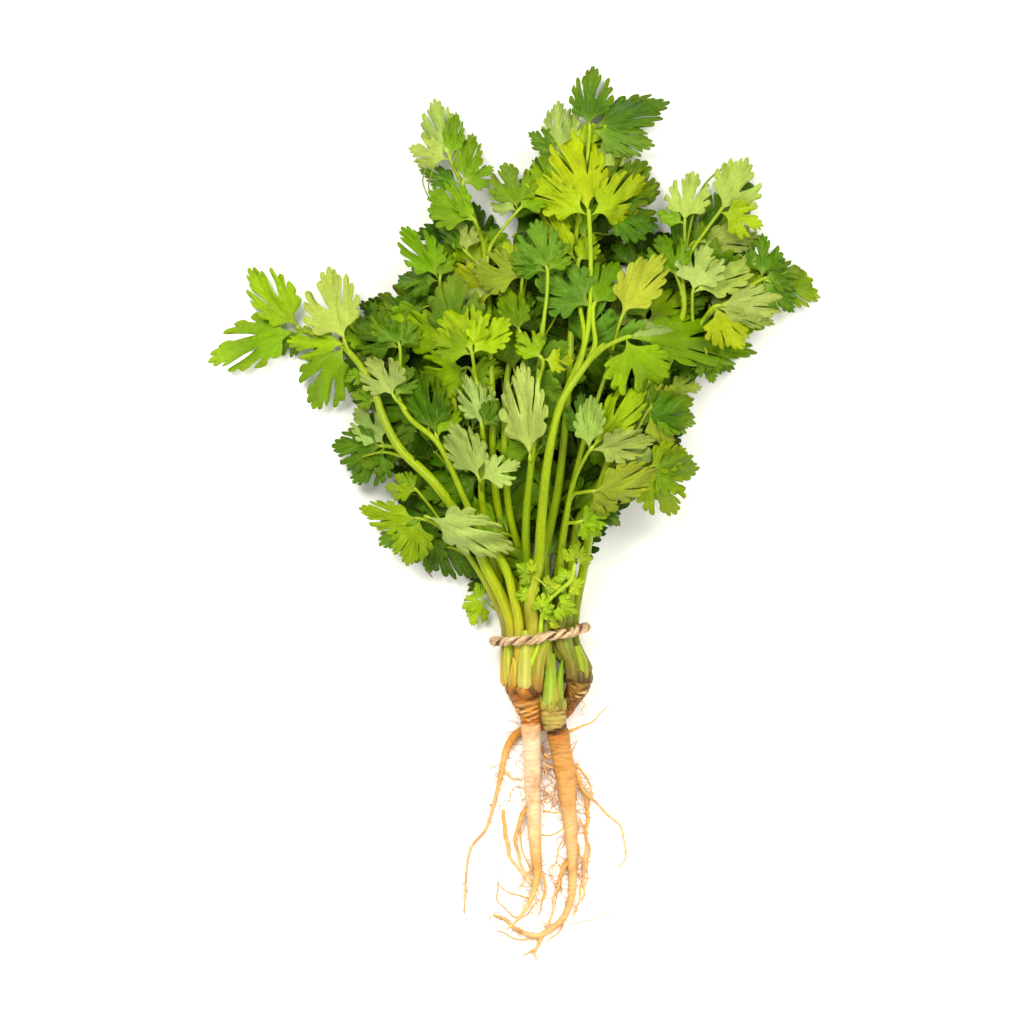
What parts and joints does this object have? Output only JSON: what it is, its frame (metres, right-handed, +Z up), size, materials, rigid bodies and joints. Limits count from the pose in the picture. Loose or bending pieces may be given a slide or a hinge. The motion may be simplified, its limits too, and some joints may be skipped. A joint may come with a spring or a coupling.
{
  "type": "coriander bunch",
  "caption": "Fresh coriander plants with leafy stems and long roots, tied into a bunch with twisted straw cord and laid on one side.",
  "frame": {"origin": "middle of the bunch's bounding box, on the surface that it lies on", "axes": "+Z up from the table, +Y along the bunch from the roots to the leaves, +X across it to the right seen from above"},
  "size_m": [0.2458, 0.3592, 0.0709],
  "materials": {
    "pale_leaf": "satin",
    "leaf": "satin",
    "root_cream": "matte",
    "root_tan": "matte",
    "root_brown": "matte",
    "straw_cord": "matte"
  },
  "bodies": {
    "root": {"leafy_stem_01": "pale_leaf", "leafy_stem_02": "pale_leaf", "leafy_stem_03": "leaf", "leafy_stem_04": "leaf", "leafy_stem_05": "pale_leaf", "leafy_stem_06": "leaf", "leafy_stem_07": "leaf", "leafy_stem_08": "pale_leaf", "leafy_stem_09": "leaf", "leafy_stem_10": "pale_leaf", "leafy_stem_11": "leaf", "leafy_stem_12": "leaf", "leafy_stem_13": "leaf", "leafy_stem_14": "pale_leaf", "leafy_stem_15": "leaf", "leafy_stem_16": "pale_leaf", "leafy_stem_17": "leaf", "leafy_stem_18": "leaf", "leafy_stem_19": "leaf", "leafy_stem_20": "leaf", "leafy_stem_21": "leaf", "leafy_stem_22": "leaf", "leafy_stem_23": "leaf", "leafy_stem_24": "leaf", "root_left": "root_cream", "root_middle": "root_tan", "root_right": "root_brown", "tie_cord": "straw_cord"}
  },
  "joints": []
}
